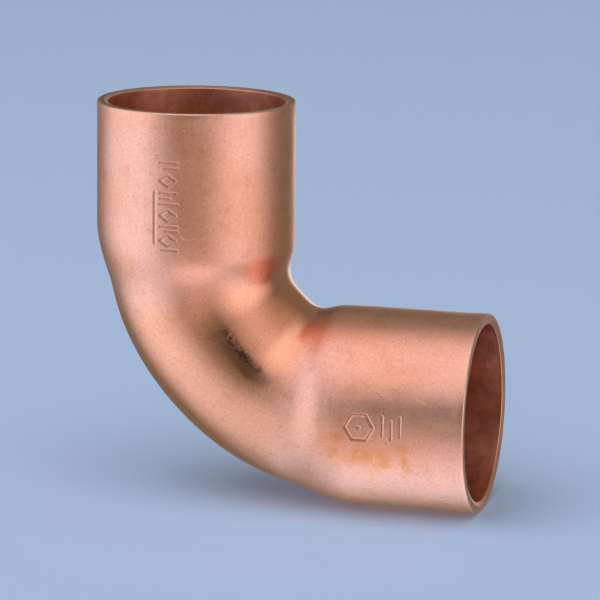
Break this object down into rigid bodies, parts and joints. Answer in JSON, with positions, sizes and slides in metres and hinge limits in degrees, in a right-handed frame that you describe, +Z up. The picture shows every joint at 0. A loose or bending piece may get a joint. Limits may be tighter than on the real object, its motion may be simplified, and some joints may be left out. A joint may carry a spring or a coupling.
{
  "type": "pipe elbow",
  "caption": "Right-angle copper solder elbow for pipe, bent from one tube, with an expanded socket at each end.",
  "frame": {"origin": "centre of the tube stop in the upper socket, on that socket's axis", "axes": "+Z points up out of the upper socket and +X points out of the side socket; the bend lies in the XZ plane, below and beside the origin, and the two axes cross 14.3 mm under it"},
  "size_m": [0.036, 0.0178, 0.036],
  "materials": {
    "copper": "satin"
  },
  "bodies": {
    "root": {"elbow_body": "copper"}
  },
  "joints": []
}
